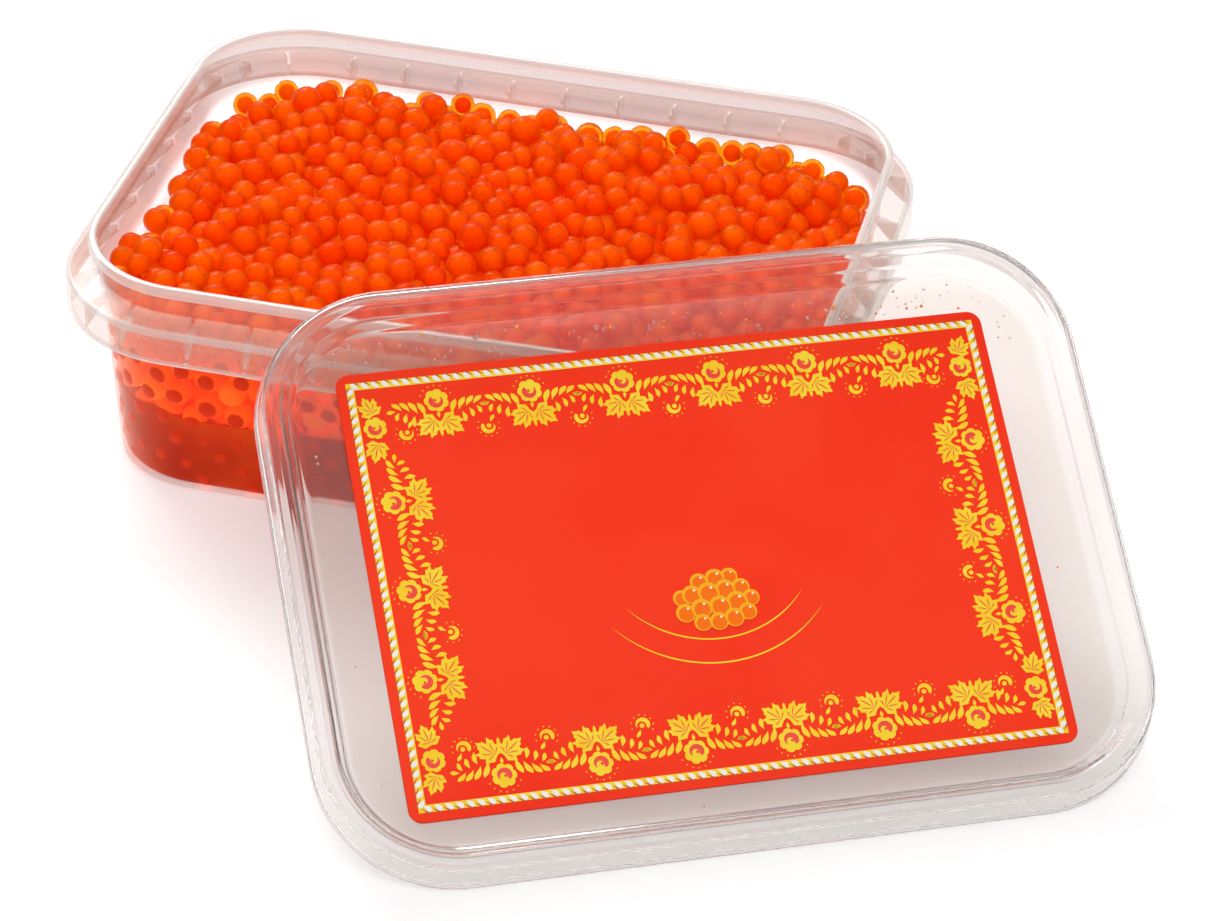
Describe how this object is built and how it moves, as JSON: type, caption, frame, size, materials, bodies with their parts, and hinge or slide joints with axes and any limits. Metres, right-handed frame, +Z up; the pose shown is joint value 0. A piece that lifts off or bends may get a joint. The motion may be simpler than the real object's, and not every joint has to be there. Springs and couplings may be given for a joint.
{
  "type": "tub of salmon roe",
  "caption": "Bright orange salmon roe heaped loosely in a clear rectangular plastic tub, with the clear lid and its red label leaning against the rim.",
  "frame": {"origin": "centre of the tub's base, on the surface that it stands on", "axes": "+X along the tub's long side, +Y towards the tub's back, away from the lid, +Z up"},
  "size_m": [0.2562, 0.2463, 0.0753],
  "materials": {
    "tub_plastic": "translucent frosted polypropylene",
    "roe": "wet translucent orange eggs",
    "lid_plastic": "clear glossy polypropylene",
    "label": "satin coated red print"
  },
  "bodies": {
    "root": {"tub": "tub_plastic", "roe": "roe", "lid": "lid_plastic", "label": "label"}
  },
  "joints": []
}
